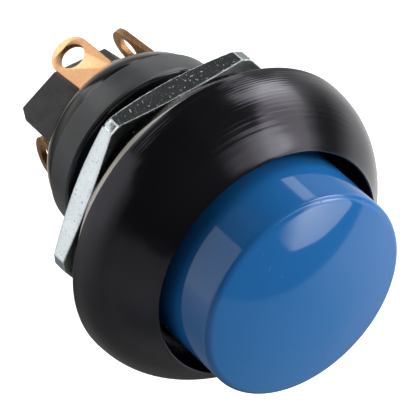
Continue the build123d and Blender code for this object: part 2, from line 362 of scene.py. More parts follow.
def plated():
    """Zinc plated steel nut: smooth flats with faint scratches, chipped bright edges."""
    k = Mat("nut_plating")
    edge = k.attr("edge")
    speck = k.noise(6.5, 4.0, 0.75)
    scratch = k.noise(4.0, 3.0, 0.6, stretch=(0.30, 0.30, 2.6))
    fine = k.noise(22.0, 2.0, 0.5)
    cloud = k.noise(0.45, 3.0, 0.5)
    worn = k.math("MULTIPLY", k.remap(edge, 0.15, 0.7, 0.0, 1.0), k.remap(speck, 0.44, 0.55, 0.15, 1.0), clamp=True)
    spots = k.remap(k.noise(5.5, 2.5, 0.6), 0.665, 0.70, 0.0, 1.0)
    spots = k.math("MAXIMUM", spots, k.remap(k.noise(10.0, 2.0, 0.6), 0.70, 0.74, 0.0, 0.5))
    spots = k.math("MAXIMUM", spots, k.remap(k.noise(3.2, 3.0, 0.7, stretch=(0.22, 0.22, 3.4)), 0.75, 0.79, 0.0, 0.5))
    worn = k.math("MAXIMUM", worn, k.math("MULTIPLY", spots, k.math("SUBTRACT", 0.7, k.math("MULTIPLY", k.attr("face"), 0.6))))
    base = k.ramp(cloud, [(0.25, (0.69, 0.755, 0.785)), (0.75, (0.80, 0.855, 0.895))])
    # the flat front and rear faces get a darker, greenish colour: painted shade, for the shade under the bezel
    face = k.attr("face")
    face_shade_colour = k.ramp(k.noise(2.6, 4.0, 0.65), [(0.35, (0.30, 0.37, 0.325)), (0.70, (0.46, 0.54, 0.49))])
    base = k.node("ShaderNodeMix", data_type="RGBA", Factor=face, i6=base, i7=face_shade_colour).outputs[2]
    col = k.node("ShaderNodeMix", data_type="RGBA", Factor=worn, i6=base, i7=(0.93, 0.93, 0.91, 1.0)).outputs[2]
    rough = k.remap(scratch, 0.3, 0.7, 0.09, 0.17)
    rough = k.math("ADD", rough, k.math("ADD", k.math("MULTIPLY", worn, 0.42), k.math("MULTIPLY", face, 0.18)))
    h = k.math("ADD", k.math("MULTIPLY", scratch, 0.5), k.math("MULTIPLY", fine, 0.12))
    n1 = k.bump(h, 0.000006, 0.30)
    n2 = k.bump(k.math("MULTIPLY", k.math("MAXIMUM", edge, spots), speck), 0.00008, 0.9, n1)
    k.set(Base_Color=col, Roughness=rough, Normal=n2, Metallic=1.0)
    return k.m


def cap_blue():
    """Glossy blue moulded plastic."""
    k = Mat("cap_plastic")
    cloud = k.noise(0.16, 3.0, 0.5)
    col = k.ramp(cloud, [(0.25, (0.0170, 0.158, 0.462)), (0.75, (0.0200, 0.169, 0.484))])
    wave = k.noise(0.55, 2.0, 0.5)
    fine = k.noise(9.0, 3.0, 0.6)
    dust = k.remap(k.noise(3.2, 1.0, 0.3), 0.775, 0.80, 0.0, 1.0)
    h = k.math("ADD", k.math("MULTIPLY", wave, 1.0), k.math("MULTIPLY", fine, 0.02))
    n1 = k.bump(h, 0.000012, 0.25)
    n2 = k.bump(dust, 0.00002, 0.5, n1)
    rough = k.remap(fine, 0.35, 0.65, 0.030, 0.060)
    rough = k.math("ADD", rough, k.math("MULTIPLY", dust, 0.3))
    k.set(Base_Color=col, Roughness=rough, Normal=n2)
    k.set(Metallic=0.0, IOR=1.5)
    return k.m


def gloss_black(name, lo, hi, r0, r1):
    k = Mat(name)
    cloud = k.noise(0.5, 3.0, 0.5)
    col = k.ramp(cloud, [(0.3, lo), (0.7, hi)])
    fine = k.noise(12.0, 3.0, 0.6)
    wave = k.noise(0.9, 2.0, 0.5)
    rough = k.remap(fine, 0.3, 0.7, r0, r1)
    n1 = k.bump(k.math("ADD", wave, k.math("MULTIPLY", fine, 0.08)), 0.00002, 0.35)
    k.set(Base_Color=col, Roughness=rough, Normal=n1)
    k.set(Metallic=0.0, IOR=1.5)
    return k.m


def moulded_block():
    """Rough glass-filled moulding, dark grey, with pale flecks."""
    k = Mat("base_plastic")
    cloud = k.noise(0.7, 4.0, 0.6)
    fleck = k.remap(k.noise(11.0, 3.0, 0.7), 0.60, 0.72, 0.0, 1.0)
    base = k.ramp(cloud, [(0.25, (0.085, 0.085, 0.086)), (0.75, (0.150, 0.150, 0.152))])
    col = k.node("ShaderNodeMix", data_type="RGBA", Factor=k.math("MULTIPLY", fleck, 0.40), i6=base, i7=(0.24, 0.24, 0.245, 1.0)).outputs[2]
    streak = k.noise(2.4, 4.0, 0.65, stretch=(1.0, 1.0, 0.35))
    grain = k.noise(14.0, 4.0, 0.7)
    n1 = k.bump(streak, 0.00009, 0.5)
    n2 = k.bump(grain, 0.00005, 0.6, n1)
    rough = k.remap(grain, 0.3, 0.7, 0.55, 0.8)
    k.set(Base_Color=col, Roughness=rough, Normal=n2)
    k.set(Metallic=0.0, IOR=1.5)
    return k.m


def lug_metal():
    """Gold flash over copper alloy: bright on the blade, browner at the sheared edges, and whole blades browner by a
    level given per lug.
    """
    k = Mat("lug_plating")
    edge = k.attr("edge")
    cloud = k.noise(0.55, 4.0, 0.55)
    pit = k.noise(9.0, 4.0, 0.7)
    grain = k.noise(5.0, 3.0, 0.6, stretch=(1.0, 1.0, 0.25))
    base = k.ramp(cloud, [(0.28, (0.95, 0.51, 0.25)), (0.72, (0.98, 0.565, 0.30))])
    # whole blades browner by a level given per lug
    dark = k.attr("tarnish")
    tarn = k.math("MULTIPLY", edge, k.remap(pit, 0.38, 0.62, 0.25, 1.0), clamp=True)
    tarn = k.math("MAXIMUM", tarn, k.math("MULTIPLY", dark, k.remap(cloud, 0.35, 0.65, 0.7, 1.0)))
    col = k.node("ShaderNodeMix", data_type="RGBA", Factor=tarn, i6=base, i7=(0.34, 0.175, 0.062, 1.0)).outputs[2]
    rough = k.remap(pit, 0.3, 0.7, 0.24, 0.38)
    rough = k.math("ADD", rough, k.math("MULTIPLY", tarn, 0.12))
    n1 = k.bump(grain, 0.000012, 0.35)
    n2 = k.bump(k.math("MULTIPLY", pit, k.math("ADD", edge, 0.12)), 0.00006, 0.6, n1)
    k.set(Base_Color=col, Roughness=rough, Normal=n2, Metallic=1.0)
    return k.m


def turned_metal(name, lo, hi, r0, r1):
    k = Mat(name)
    cloud = k.noise(0.8, 3.0, 0.5)
    lines = k.noise(7.0, 3.0, 0.6, stretch=(0.2, 0.2, 3.0))
    col = k.ramp(cloud, [(0.3, lo), (0.7, hi)])
    rough = k.remap(lines, 0.3, 0.7, r0, r1)
    n1 = k.bump(lines, 0.000012, 0.4)
    k.set(Base_Color=col, Roughness=rough, Normal=n1, Metallic=1.0)
    return k.m


def dull(name, lo, hi, r0=0.55, r1=0.75, bumpy=0.00003):
    k = Mat(name)
    cloud = k.noise(0.8, 4.0, 0.55)
    fine = k.noise(13.0, 3.0, 0.6)
    col = k.ramp(cloud, [(0.3, lo), (0.7, hi)])
    rough = k.remap(fine, 0.3, 0.7, r0, r1)
    n1 = k.bump(k.math("ADD", cloud, k.math("MULTIPLY", fine, 0.4)), bumpy, 0.5)
    k.set(Base_Color=col, Roughness=rough, Normal=n1)
    k.set(Metallic=0.0, IOR=1.5)
    return k.m


M = {
    "anodised_black": anodised(),
    "nut_plating": plated(),
    "cap_plastic": cap_blue(),
    "seal_rubber": dull("seal_rubber", (0.012, 0.012, 0.012), (0.02, 0.02, 0.02)),
    "steel": turned_metal("steel", (0.50, 0.50, 0.51), (0.62, 0.62, 0.63), 0.18, 0.34),
    "spring_steel": turned_metal("spring_steel", (0.46, 0.46, 0.48), (0.58, 0.58, 0.60), 0.2, 0.36),
    "guide_plastic": dull("guide_plastic", (0.010, 0.010, 0.011), (0.018, 0.018, 0.019), 0.4, 0.55),
    # black plastic, but its colour is lifted to a bluish dark grey as painted sheen, standing in for the soft
    # reflection on the glossy shell
    "case_plastic": gloss_black("case_plastic", (0.060, 0.063, 0.066), (0.088, 0.092, 0.099), 0.30, 0.42),
    "base_plastic": moulded_block(),
    "potting": gloss_black("potting", (0.004, 0.004, 0.0043), (0.006, 0.006, 0.0066), 0.08, 0.15),
    "lug_plating": lug_metal(),
    "contact_silver": turned_metal("contact_silver", (0.78, 0.78, 0.76), (0.88, 0.88, 0.86), 0.16, 0.3),
    "carriage_plastic": dull("carriage_plastic", (0.66, 0.63, 0.55), (0.76, 0.73, 0.65)),
}

slot_of = {s["node"]: s["material_slot"] for s in frame["record"]["subparts"]}
for name, obj in frame["nodes"].items():
    m = M[slot_of[name]]
    if not obj.material_slots:
        obj.data.materials.append(m)
    for s in obj.material_slots:
        s.material = m


# ================================================================ camera
U = 9.9 * MM
F_PX, DIST, CX, CY, TH, PH = 5551.76, 40.0, -9.7336, -8.371, 0.8899, 0.7452
axis = np.array([math.sin(TH) * math.cos(PH), math.sin(TH) * math.sin(PH), -math.cos(TH)])
ex = np.array([math.sin(PH), -math.cos(PH), 0.0])
ey = np.cross(axis, ex)
RC = np.array([ex, ey, axis])
eye = -RC @ np.array([CX / F_PX * DIST, CY / F_PX * DIST, DIST]) * U
right, down, ahead = RC[:, 0], RC[:, 1], RC[:, 2]
cam_data = bpy.data.cameras.new("camera")
cam_data.sensor_width = 36.0
cam_data.lens = F_PX / 415.0 * 36.0
cam_data.clip_start, cam_data.clip_end = 0.05, 20.0
cam = link(bpy.data.objects.new("camera", cam_data))
rot = Matrix((right, -down, -ahead)).transposed()
cam.matrix_world = Matrix.Translation(Vector(eye)) @ rot.to_4x4()
scene.camera = cam


# ================================================================ bezel and bushing, one piece
def superellipse(n=56):
    pts = []
    for i in range(n + 1):
        t = math.pi / 2 * i / n
        r = 9.32 + (RIM_R - 9.32) * math.cos(t) ** 2.309
        z = 2.60 + (BEZ_TOP - 2.60) * math.sin(t) ** 0.872
        pts.append((r, z))
    return pts


PITCH, MAJOR, MINOR = 1.058, 7.94, 7.34


def thread_radius(z, th):
    """60 degree thread with crest and root flats, cut away by the lead-in chamfer."""
    w = (z / PITCH + th / (2 * math.pi)) % 1.0
    d = np.abs(w - 0.5) * 2                     # 0 at a crest, 1 at a root
    t = np.clip((d - 0.14) / (0.80 - 0.14), 0, 1)
    t = t * t * (3 - 2 * t) * 0.35 + t * 0.65
    r = MAJOR - (MAJOR - MINOR) * t
    fade = np.clip((-0.15 - z) / 0.35, 0, 1)    # run-out under the nut
    r = MINOR + (r - MINOR) * fade
    lead = 7.49 + np.clip(z - BUSH_END, 0, 9) * 1.0
    return np.minimum(r, lead)


def make_bezel():
    N = 288
    curve = superellipse()[::-1]                # from the lip down to the rim
    prof = [(6.45, BUSH_END, 0.0), (6.45, 1.50, 0.0), (9.20, 1.50, 0.15), (9.20, BEZ_TOP - 0.10, 0.0)]
    inner = fillet(prof, closed=False, seg=4)
    lip = [(9.205, BEZ_TOP - 0.055), (9.23, BEZ_TOP - 0.022), (9.27, BEZ_TOP - 0.004)]
    rim = [(12.418, 2.54), (12.40, 2.49)]
    cham = fillet([(12.36, 2.45, 0), (12.33, 2.42, 0), (10.2, 0.0, 0.06), (9.40, 0.0, 0.05), (9.40, 0.75, 0.1), (8.40, 0.75, 0.1),
                   (8.40, 0.0, 0.05), (8.05, 0.0, 0.0), (7.34, -0.05, 0.0)], closed=False, seg=4)
    prof_all = inner + lip + curve + rim + cham
    prof_all = [p for i, p in enumerate(prof_all) if i == 0 or math.dist(p, prof_all[i - 1]) > 1e-4]
    rows = list(spin_rows(prof_all, N))
    th = np.linspace(0, 2 * math.pi, N, endpoint=False)
    z = -0.12
    while z > BUSH_END + 0.001:
        r = thread_radius(z, th)
        rows.append(np.stack([r * np.cos(th), r * np.sin(th), np.full(N, z)], -1))
        z -= 0.052
    r = np.minimum(thread_radius(BUSH_END, th), 7.49)
    rows.append(np.stack([r * np.cos(th), r * np.sin(th), np.full(N, BUSH_END)], -1))
    ob = grid("bezel_turned", rows, [M["anodised_black"]], close_rows=True, sharp=38)
    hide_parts("bezel_bushing")
    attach(ob, "housing")
    return ob


# ================================================================ nut
def make_nut():
    flats = [2 + 60 * k for k in range(6)]
    cols = []
    for f in flats:
        for d in np.linspace(-30, 30, 121):
            cols.append(f + d)
    cols = sorted(set(round(c, 4) for c in cols))
    if abs((cols[-1] - cols[0]) - 360) < 1e-3:
        cols = cols[:-1]
    th = np.radians(np.array(cols))
    dd = np.radians((np.array(cols) - 2 + 30) % 60 - 30)
    R = np.minimum(10.0 / np.cos(dd), NUT_CORNER)
    # small dents along the corners and edges
    x, y = np.cos(th) * R, np.sin(th) * R

    def zf(r):
        return NUT_F - np.clip(r - 10.02, 0, 9) * (0.20 / 1.28)

    def zr(r):
        return NUT_R + np.clip(r - 9.88, 0, 9) * (0.50 / 1.42)

    bore = 7.96
    rows, edge = [], []

    def add(r, z, e):
        rr = np.broadcast_to(r, th.shape).astype(float).copy()
        zz = np.broadcast_to(z, th.shape).astype(float).copy()
        if e > 0:
            n = fbm(rr * np.cos(th) * 3.2, rr * np.sin(th) * 3.2, zz * 5, seed=3)
            rr = rr + 0.008 * e * n - 0.012 * e
            zz = zz + 0.006 * e * fbm(rr * np.cos(th) * 4.1, rr * np.sin(th) * 4.1, zz * 3, seed=4)
        rows.append(np.stack([rr * np.cos(th), rr * np.sin(th), zz], -1))
        edge.append(np.full(len(th), e))

    add(bore, NUT_R + 0.35, 0)
    add(bore, -1.17, 0)
    add(bore, NUT_F - 0.35, 0)
    add(bore + 0.35, NUT_F, 0.3)
    add(9.0, NUT_F, 0)
    add(9.6, NUT_F, 0)
    f = 0.10
    for s, e in ((0.30, 0.0), (0.16, 0.5), (0.07, 1.0), (0.022, 1.0)):
        add(R - s, zf(R - s) - (0 if s > 0.1 else (0.1 - s) * 0.25), e)
    for s, e in ((0.03, 1.0), (0.09, 1.0), (0.20, 0.45), (0.36, 0.0)):
        add(R, zf(R) - s, e)
    for k in (0.25, 0.5, 0.75):
        add(R, (zf(R) - 0.36) * (1 - k) + (zr(R) + 0.36) * k, 0)
    for s, e in ((0.36, 0.0), (0.20, 0.45), (0.09, 1.0), (0.03, 1.0)):
        add(R, zr(R) + s, e)
    for s, e in ((0.022, 1.0), (0.07, 1.0), (0.16, 0.5), (0.30, 0.0)):
        add(R - s, zr(R - s) + (0 if s > 0.1 else (0.1 - s) * 0.25), e)
    add(9.5, NUT_R, 0)
    add(9.0, NUT_R, 0)
    add(bore + 0.35, NUT_R, 0.3)
    rows = np.array(rows)
    # a nick on the corner that faces the near side
    c = np.array([NUT_CORNER * math.cos(math.radians(93.2)), NUT_CORNER * math.sin(math.radians(93.2)), -1.45])
    d = rows - c
    w = np.exp(-((d[..., 0] * 0.9 + d[..., 2] * 0.45) / 0.16) ** 2 - (d[..., 1] / 0.5) ** 2 - ((d[..., 2] - d[..., 0] * 0.5) / 0.45) ** 2)
    rad = np.stack([np.cos(th), np.sin(th), np.zeros(len(th))], -1)
    rows = rows - 0.05 * w[..., None] * rad[None]
    ob = grid("nut_body", rows, [M["nut_plating"]], close_rows=True, sharp=28, weld=1e-8)
    # where the edges are, for wear
    co = np.array([v.co for v in ob.data.vertices]) / MM
    rad_ = np.hypot(co[:, 0], co[:, 1])
    ang = (np.degrees(np.arctan2(co[:, 1], co[:, 0])) - 2 + 30) % 60 - 30
    Rv = np.minimum(10.0 / np.cos(np.radians(ang)), NUT_CORNER)
    zfv, zrv = zf(Rv), zr(Rv)
    to_side = np.clip(Rv - rad_, 0, 9)
    to_face = np.minimum(np.abs(zfv - co[:, 2]), np.abs(co[:, 2] - zrv))
    dist = np.hypot(to_side, to_face)
    e = np.clip(1 - dist / 0.12, 0, 1)
    corner = np.clip(1 - np.abs(np.abs(ang) - 27.9) * math.pi / 180 * 11.3 / 0.10, 0, 1) * (to_side < 0.1)
    e = np.maximum(e, corner * 0.6)
    at = ob.data.attributes.new("edge", "FLOAT", "POINT")
    at.data.foreach_set("value", e.astype(np.float32))
    # marks the flat front and rear faces, which the nut material paints darker as painted shade
    flat_on = (np.abs(zf(rad_) - co[:, 2]) < 0.02) | (np.abs(zr(rad_) - co[:, 2]) < 0.02)
    at = ob.data.attributes.new("face", "FLOAT", "POINT")
    at.data.foreach_set("value", (flat_on & (to_side > 0.05) & (rad_ > 8.2)).astype(np.float32))
    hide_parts("hex_nut")
    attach(ob, "housing")
    return ob


# ================================================================ cap
def make_cap():
    sag = CAP_TOP - 13.12
    dome = (7.80 ** 2 + sag ** 2) / (2 * sag)
    zc = CAP_TOP - dome
    prof = []
    for i in range(40):                          # dome, from the middle out
        r = 7.80 * i / 39
        prof.append((r, zc + math.sqrt(dome * dome - r * r)))
    p0, p1 = np.array(prof[-1]), np.array([CAP_R, 12.62])
    t0 = np.array([math.cos(math.asin(7.80 / dome)), -7.80 / dome])
    t1 = np.array([0.0, -1.0])
    L = 0.50
    for i in range(1, 17):                       # shoulder
        s = i / 16
        h00, h10 = 2 * s**3 - 3 * s**2 + 1, s**3 - 2 * s**2 + s
        h01, h11 = -2 * s**3 + 3 * s**2, s**3 - s**2
        prof.append(tuple(h00 * p0 + h10 * t0 * L * 1.35 + h01 * p1 + h11 * t1 * L * 1.5))
    for z in np.arange(12.3, SKIRT_Z + 0.4, -0.45):
        prof.append((CAP_R, z))
    prof += fillet([(CAP_R, SKIRT_Z + 0.3, 0), (CAP_R, SKIRT_Z, 0.1), (7.05, SKIRT_Z, 0.1), (7.05, 10.2, 0), (6.45, 10.8, 0.2),
                    (3.6, 10.8, 0.15), (3.6, 8.6, 0.1), (2.5, 8.6, 0), (2.5, 11.95, 0), (0.0, 11.95, 0)], closed=False, seg=4)
    ob = grid("cap_moulded", spin_rows(prof, 256), [M["cap_plastic"]], sharp=40)
    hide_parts("button_cap")
    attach(ob, "button")
    return ob


# ================================================================ case, potting, block
def make_case():
    prof = fillet([(5.4, -3.30, 0.05), (6.43, -3.30, 0.1), (6.43, -4.10, 0.05), (5.90, -4.10, 0.05), (5.90, -4.80, 0.05), (6.43, -4.80, 0.05),
                   (6.43, BUSH_END, 0.0), (7.56, BUSH_END, 0.0), (CASE_R, BUSH_END - 0.14, 0.06), (7.47, -7.72, 0.08), (7.34, -7.85, 0.05),
                   (6.58, -7.85, 0.0), (6.58, -6.20, 0.0), (5.4, -6.20, 0.0)], seg=4)
    ob = grid("case_shell", spin_rows(refine(prof, 0.6), 224), [M["case_plastic"]], close_rows=True, sharp=38)
    weighted(ob)
    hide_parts("switch_case")
    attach(ob, "housing")


# centre x, centre y, direction of the width, lean of the tip along the width and inwards, degrees
LUGS = {"terminal_1": (1.59, 5.00, -4.0, -3.0, 0.0), "terminal_2": (5.06, 0.76, 70.0, 3.9, 6.5),
        "terminal_3": (-5.26, 0.08, 60.0, -5.9, 6.9), "terminal_4": (-1.59, -5.00, -4.0, 3.0, 0.0)}
BLOCK = [(-4.26, 4.20), (-0.28, 4.30), (3.47, 2.00), (4.26, -4.20), (0.28, -4.30), (-3.47, -2.00)]


def seg_dist(px, py, a, b):
    ax, ay = a
    bx, by = b
    t = np.clip(((px - ax) * (bx - ax) + (py - ay) * (by - ay)) / ((bx - ax) ** 2 + (by - ay) ** 2), 0, 1)
    return np.hypot(px - ax - t * (bx - ax), py - ay - t * (by - ay))


def make_potting():
    ctrl = [(7.26, -7.80), (7.22, -7.95), (7.17, -8.30), (7.02, -8.75), (6.82, -9.17), (6.55, -9.55), (6.18, -9.95), (5.72, -10.30), (5.22, -10.56),
            (4.70, -10.72), (4.2, -10.81), (3.6, -10.85), (3.0, -10.85), (2.4, -10.85)]
    c = np.array(ctrl)
    s = np.concatenate([[0], np.cumsum(np.hypot(*np.diff(c, axis=0).T))])
    # Catmull-Rom through the control points
    tt = np.linspace(0, s[-1], 96)
    prof = []
    for t in tt:
        i = min(max(np.searchsorted(s, t) - 1, 0), len(c) - 2)
        u = (t - s[i]) / (s[i + 1] - s[i])
        p0, p1, p2, p3 = c[max(i - 1, 0)], c[i], c[i + 1], c[min(i + 2, len(c) - 1)]
        prof.append(0.5 * (2 * p1 + (p2 - p0) * u + (2 * p0 - 5 * p1 + 4 * p2 - p3) * u**2 + (3 * p1 - p0 - 3 * p2 + p3) * u**3))
    prof = np.array(prof)
    rows = spin_rows(prof, 300)
    x, y = rows[..., 0], rows[..., 1]
    d = np.full(x.shape, 9.0)
    for i in range(len(BLOCK)):
        d = np.minimum(d, seg_dist(x, y, BLOCK[i], BLOCK[(i + 1) % 6]))
    for cx, cy, az, side, into in LUGS.values():
        wx, wy = math.cos(math.radians(az)) * 1.50, math.sin(math.radians(az)) * 1.50
        d = np.minimum(d, np.clip(seg_dist(x, y, (cx - wx, cy - wy), (cx + wx, cy + wy)) - 0.25, 0, 9))
    creep = 0.20 * np.exp(-d / 0.20)
    rr = np.hypot(x, y)
    creep *= np.clip((7.0 - rr) / 0.8, 0, 1)
    rows[..., 2] -= creep
    rows[..., 2] += 0.018 * fbm(x * 0.9, y * 0.9, rows[..., 2] * 0.9, seed=9) * np.clip((7.0 - rr) / 1.0, 0, 1)
    # open in the middle, where the barrier block stands in it
    top = spin_rows([(2.30, -10.80), (2.30, -9.0), (2.30, -7.90), (2.40, -7.80), (4.8, -7.80), (7.1, -7.80)], 300)
    ob = grid("potting_body", np.concatenate([top, rows], 0), [M["potting"]], close_rows=True, sharp=None)
    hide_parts("epoxy_seal")
    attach(ob, "housing")


def make_block():
    """Barrier block and the disc it stands on, hidden in the case."""
    z1, z0 = -7.9, BLOCK_END
    bm = bmesh.new()
    low = [bm.verts.new((x * MM, y * MM, z0 * MM)) for x, y in BLOCK]
    top = [bm.verts.new((x * MM, y * MM, z1 * MM)) for x, y in BLOCK]
    bm.faces.new(low[::-1])
    bm.faces.new(top)
    for i in range(6):
        j = (i + 1) % 6
        bm.faces.new((low[i], low[j], top[j], top[i]))
    bmesh.ops.recalc_face_normals(bm, faces=bm.faces)
    # the corner cut at both ends
    for sx in (-1, 1):
        n = Vector((sx * 1.03, 0, -0.52)).normalized()
        p = Vector((sx * 3.74 * MM, 0, z0 * MM))
        geom = bm.verts[:] + bm.edges[:] + bm.faces[:]
        res = bmesh.ops.bisect_plane(bm, geom=geom, plane_co=p, plane_no=n, clear_outer=True)
        edges = [e for e in res["geom_cut"] if isinstance(e, bmesh.types.BMEdge)]
        bmesh.ops.contextual_create(bm, geom=edges)
    bmesh.ops.recalc_face_normals(bm, faces=bm.faces)
    bmesh.ops.bevel(bm, geom=[e for e in bm.edges if len(e.link_faces) == 2 and e.calc_face_angle() > 0.3], offset=0.11 * MM, segments=3, profile=0.5, affect="EDGES")
    # stepped well for the carriage's spring and stem, closed at its foot
    loops = []
    well = [(2.10, z1), (2.10, -8.00), (1.26, -8.00), (1.26, -11.60)]
    head = [f for f in bm.faces if f.calc_center_median().z > (z1 - 0.01) * MM and f.normal.z > 0.9]
    n = 48
    for r, z in well:
        loops.append([bm.verts.new((r * MM * math.cos(2 * math.pi * i / n), r * MM * math.sin(2 * math.pi * i / n), z * MM)) for i in range(n)])
    for a, b in zip(loops[:-1], loops[1:]):
        for i in range(n):
            j = (i + 1) % n
            bm.faces.new((a[i], b[i], b[j], a[j]))
    bm.faces.new(loops[-1])
    bm.verts.index_update()
    rim = [e for f in head for e in f.edges if len([g for g in e.link_faces if g in head]) == 1]
    bmesh.ops.delete(bm, geom=head, context="FACES_ONLY")
    mouth = [e for e in bm.edges if all(v in loops[0] for v in e.verts)]
    bmesh.ops.bridge_loops(bm, edges=[e for e in rim if e.is_valid] + mouth)
    bmesh.ops.recalc_face_normals(bm, faces=bm.faces)
    me = bpy.data.meshes.new("barrier_block")
    bm.to_mesh(me)
    bm.free()
    me.shade_smooth()
    me.set_sharp_from_angle(angle=math.radians(35))
    me.materials.append(M["base_plastic"])
    ob = link(bpy.data.objects.new("barrier_block", me))
    # the disc
    disc = grid("base_disc", spin_rows([(2.1, -6.2), (6.56, -6.2), (6.56, -7.85), (2.1, -7.85)], 96), [M["base_plastic"]], close_rows=True, sharp=30)
    for o in (ob, disc):
        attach(o, "housing")
    weighted(ob)
    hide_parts("terminal_base")


# ================================================================ solder lugs
def make_lug(name, cx, cy, az, side, into):
    t, bev = 0.50, 0.055
    wh, wl, tip, hole_z, hole_r, root = 1.54, 1.48, -15.03, -13.37, 1.00, -9.90
    tc = tip + wh
    cu = bpy.data.curves.new(name + "_c", "CURVE")
    cu.dimensions = "2D"
    cu.fill_mode = "BOTH"
    cu.extrude = (t / 2 - bev) * MM
    cu.bevel_depth = bev * MM
    cu.bevel_resolution = 3
    cu.offset = -bev * MM
    pts = [(-0.8, -6.3), (0.8, -6.3), (0.8, -9.3), (wl, -9.3)]
    for i in range(33):
        w = -math.pi * i / 32
        pts.append((wh * math.cos(w), tc + wh * math.sin(w)))
    pts += [(-wl, -9.3), (-0.8, -9.3)]

    def poly(points):
        s = cu.splines.new("POLY")
        s.points.add(len(points) - 1)
        for p, (x, y) in zip(s.points, points):
            p.co = (x * MM, y * MM, 0, 1)
        s.use_cyclic_u = True

    poly(pts)
    poly([(hole_r * math.cos(2 * math.pi * i / 56), hole_z + hole_r * math.sin(2 * math.pi * i / 56)) for i in range(56)])
    tmp = link(bpy.data.objects.new(name + "_t", cu))
    bpy.context.view_layer.update()
    dg = bpy.context.evaluated_depsgraph_get()
    me = bpy.data.meshes.new_from_object(tmp.evaluated_get(dg), depsgraph=dg)
    bpy.data.objects.remove(tmp)
    bm = bmesh.new()
    bm.from_mesh(me)
    bmesh.ops.remove_doubles(bm, verts=bm.verts, dist=1e-7)
    bmesh.ops.bisect_plane(bm, geom=bm.verts[:] + bm.edges[:] + bm.faces[:], plane_co=(0, -9.3 * MM, 0), plane_no=(0, 1, 0))
    bmesh.ops.triangulate(bm, faces=bm.faces)
    # foot, folded inwards
    nx, ny = -math.sin(math.radians(az)), math.cos(math.radians(az))
    sign = -1 if nx * cx + ny * cy > 0 else 1
    res = bmesh.ops.create_cube(bm, size=1.0)
    for v in res["verts"]:
        v.co = Vector((v.co.x * 1.6 * MM, (-6.50 + v.co.y * 0.4) * MM, (sign * (0.8 + 0.25) + v.co.z * 1.6) * MM))
    bmesh.ops.recalc_face_normals(bm, faces=bm.faces)
    bm.to_mesh(me)
    bm.free()
    # edge attribute: high on the sheared sides and in the hole
    co = np.array([v.co for v in me.vertices]) / MM
    e = np.clip((t / 2 + 0.001 - np.abs(co[:, 2])) / 0.04, 0, 1)
    # local frame: x along the width, y is z of the part, z is the blade's normal;
    # the blade leans from its root, under the potting
    place = Matrix.Rotation(math.radians(az), 3, "Z")
    bend = Matrix.Rotation(math.radians(-side), 3, "Y") @ Matrix.Rotation(math.radians(sign * into), 3, "X")
    pivot = Vector((0, 0, root))
    for v in me.vertices:
        p = Vector((v.co.x, v.co.z, v.co.y)) / MM
        if p.z < -9.25:
            p = bend @ (p - pivot) + pivot
        p = place @ p + Vector((cx, cy, 0))
        v.co = p * MM
    me.update()
    bm = bmesh.new()
    bm.from_mesh(me)
    bmesh.ops.recalc_face_normals(bm, faces=bm.faces)
    bm.to_mesh(me)
    bm.free()
    me.shade_smooth()
    me.set_sharp_from_angle(angle=math.radians(50))
    me.materials.clear()
    me.materials.append(M["lug_plating"])
    at = me.attributes.new("edge", "FLOAT", "POINT")
    at.data.foreach_set("value", e.astype(np.float32))
    # how much browner the whole blade is: lug 3 almost all, lug 4 half, lug 2 hardly
    at = me.attributes.new("tarnish", "FLOAT", "POINT")
    at.data.foreach_set("value", np.full(len(e), {"terminal_2": 0.02, "terminal_3": 0.95, "terminal_4": 0.5}.get(name, 0.0), np.float32))
    ob = link(bpy.data.objects.new("lug_" + name[-1], me))
    weighted(ob)
    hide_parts(name)
    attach(ob, "housing")
    return ob


# ================================================================ springs
def make_spring(name, replaced, body, r_mean, wire, z0, z1, turns):
    """Round-wire coil, carried whole by the given body."""
    n, m = int(turns * 44), 12
    t = np.linspace(0, 1, n + 1)
    a = 2 * math.pi * turns * t
    z = z0 + wire + 0.02 + (z1 - z0 - 2 * wire - 0.04) * t
    mid = np.stack([r_mean * np.cos(a), r_mean * np.sin(a), z], -1)
    out = np.stack([np.cos(a), np.sin(a), 0 * a], -1)
    along = np.gradient(mid, axis=0)
    along /= np.linalg.norm(along, axis=1)[:, None]
    up = np.cross(along, out)
    w = np.linspace(0, 2 * math.pi, m, endpoint=False)
    rows = mid[:, None, :] + wire * (np.cos(w)[None, :, None] * out[:, None, :] + np.sin(w)[None, :, None] * up[:, None, :])
    # ends cut square, with a small rounding
    for end, sign in ((0, -1), (-1, 1)):
        ring_ = mid[end] + 0.80 * (rows[end] - mid[end]) + sign * 0.10 * wire * along[end]
        tip = np.repeat((mid[end] + sign * 0.10 * wire * along[end])[None], m, 0)
        rows = np.concatenate([[tip, ring_], rows], 0) if end == 0 else np.concatenate([rows, [ring_, tip]], 0)
    ob = grid(name, rows, [M["spring_steel"]], sharp=None)
    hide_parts(replaced)
    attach(ob, body)
    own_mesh(ob)
    return ob


make_spring("return_coil", "return_spring", "button", 5.10, 0.32, 2.20, 10.80, 5.0)
make_spring("overtravel_coil", "overtravel_spring", "carriage", 1.20, 0.18, -3.30, 1.60, 6.0)
make_spring("carriage_coil", "carriage_spring", "carriage", 1.65, 0.18, -8.00, -4.00, 5.0)
make_bezel()
make_nut()
make_cap()
make_case()
make_potting()
make_block()
for name, where in LUGS.items():
    make_lug(name, *where)


